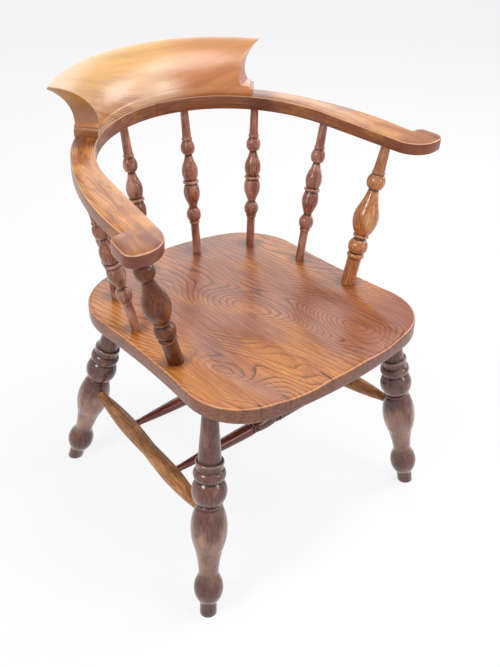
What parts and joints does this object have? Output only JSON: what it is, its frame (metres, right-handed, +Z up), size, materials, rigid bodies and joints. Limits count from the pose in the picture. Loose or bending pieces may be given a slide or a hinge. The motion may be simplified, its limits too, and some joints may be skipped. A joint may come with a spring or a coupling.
{
  "type": "captains chair",
  "caption": "Wooden captains chair: dished seat on splayed turned legs with stretchers, turned spindles and arm supports under a horseshoe arm bow with a rolled crest rail.",
  "frame": {"origin": "on the floor under the middle of the chair's plan", "axes": "+X to the right of someone who sits in the chair, +Y to the back, +Z up"},
  "size_m": [0.6694, 0.5934, 0.8418],
  "materials": {
    "seat_elm": "waxed elm, orange-brown with dark swirling grain",
    "crest_wood": "waxed golden-brown wood with fine grain, worn pale on its arrises",
    "bow_wood": "waxed orange-brown wood, darker on its inner face",
    "leg_wood": "dark red-brown stain and wax, rubbed on the vases",
    "spindle_wood": "dark glossy red-brown stain and wax",
    "stretcher_wood": "dark brown stain, worn orange on the swells",
    "dowel_wood": "bare pale wood",
    "screw_steel": "dull steel"
  },
  "bodies": {
    "root": {"seat": "seat_elm", "crest_rail": "crest_wood", "crest_screws": "screw_steel", "bow_joint_dowels": "dowel_wood", "right_bow_half": "bow_wood", "left_bow_half": "bow_wood", "front_right_leg": "leg_wood", "front_left_leg": "leg_wood", "front_cross_stretcher": "stretcher_wood", "rear_right_leg": "leg_wood", "rear_left_leg": "leg_wood", "rear_cross_stretcher": "stretcher_wood", "right_side_stretcher": "stretcher_wood", "right_arm_support": "spindle_wood", "right_outer_spindle": "spindle_wood", "right_middle_spindle": "spindle_wood", "right_inner_spindle": "spindle_wood", "left_side_stretcher": "stretcher_wood", "left_arm_support": "spindle_wood", "left_outer_spindle": "spindle_wood", "left_middle_spindle": "spindle_wood", "left_inner_spindle": "spindle_wood"}
  },
  "joints": []
}
